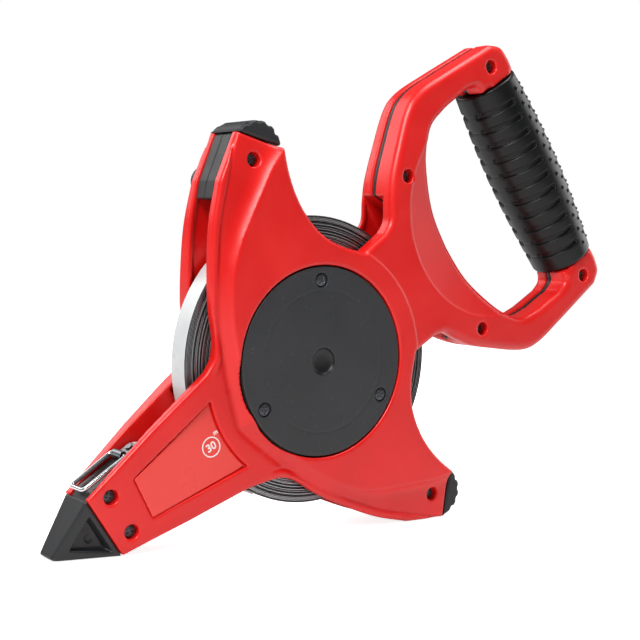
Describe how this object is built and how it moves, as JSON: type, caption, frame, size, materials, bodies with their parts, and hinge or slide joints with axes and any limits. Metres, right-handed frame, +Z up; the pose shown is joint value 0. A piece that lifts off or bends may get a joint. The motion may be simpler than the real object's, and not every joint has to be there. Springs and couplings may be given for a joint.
{
  "type": "surveyor tape reel",
  "caption": "Open-frame steel measuring tape reel with a D-shaped rubber grip, wedge nose, two rubber feet, a central winding disc and a crank on the rear side.",
  "frame": {"origin": "middle of the box round the reel, at floor level, with the reel standing on its nose and its lower arm", "axes": "+X runs level from the nose end to the handle end, +Y is the drum's turning axis and points to the crank side, +Z is up"},
  "size_m": [0.333, 0.0808, 0.2525],
  "materials": {
    "red_plastic": "satin moulded red",
    "black_plastic": "fine matt moulded black",
    "cap_plastic": "fine matt moulded black",
    "knob_plastic": "matt moulded black",
    "grip_rubber": "soft matt rubber",
    "foot_rubber": "matt rubber",
    "label_film": "smooth printed film",
    "tape_steel": "lacquered steel tape, pale grey",
    "bright_steel": "polished plating",
    "screw_steel": "blackened steel"
  },
  "bodies": {
    "frame": {"front_frame": "red_plastic", "rear_frame": "red_plastic", "handle_core": "black_plastic", "grip_sleeve": "grip_rubber", "nose_block": "black_plastic", "top_bumper": "foot_rubber", "lower_bumper": "foot_rubber", "front_label": "label_film", "rear_label": "label_film", "frame_screw_1": "screw_steel", "frame_screw_2": "screw_steel", "frame_screw_3": "screw_steel", "frame_screw_4": "screw_steel", "frame_screw_5": "screw_steel", "frame_screw_6": "screw_steel", "frame_screw_7": "screw_steel", "frame_screw_8": "screw_steel", "tape_lead": "tape_steel", "end_clip": "bright_steel", "clip_rivet": "bright_steel"},
    "reel": {"drum": "black_plastic", "front_cap": "cap_plastic", "rear_cap": "cap_plastic", "front_cap_screw_1": "screw_steel", "front_cap_screw_2": "screw_steel", "front_cap_screw_3": "screw_steel", "rear_cap_screw_1": "screw_steel", "rear_cap_screw_2": "screw_steel", "rear_cap_screw_3": "screw_steel", "tape_coil": "tape_steel", "crank_arm": "cap_plastic", "crank_screw": "screw_steel", "knob_pin": "bright_steel"},
    "knob": {"crank_knob": "knob_plastic"},
    "ring": {"end_ring": "bright_steel"}
  },
  "joints": [
    {"name": "reel_spin", "type": "hinge", "parent": "frame", "child": "reel", "pos_m": [-0.02895, -0.0206, 0.0865], "axis": [0, 1, 0], "continuous": true},
    {"name": "knob_spin", "type": "hinge", "parent": "reel", "child": "knob", "pos_m": [-0.05462, 0.0224, 0.17485], "axis": [0, 1, 0], "continuous": true},
    {"name": "ring_flip", "type": "hinge", "parent": "frame", "child": "ring", "pos_m": [-0.13093, -0.0206, 0.04516], "axis": [0, 1, 0], "range_deg": [0, 150]}
  ]
}
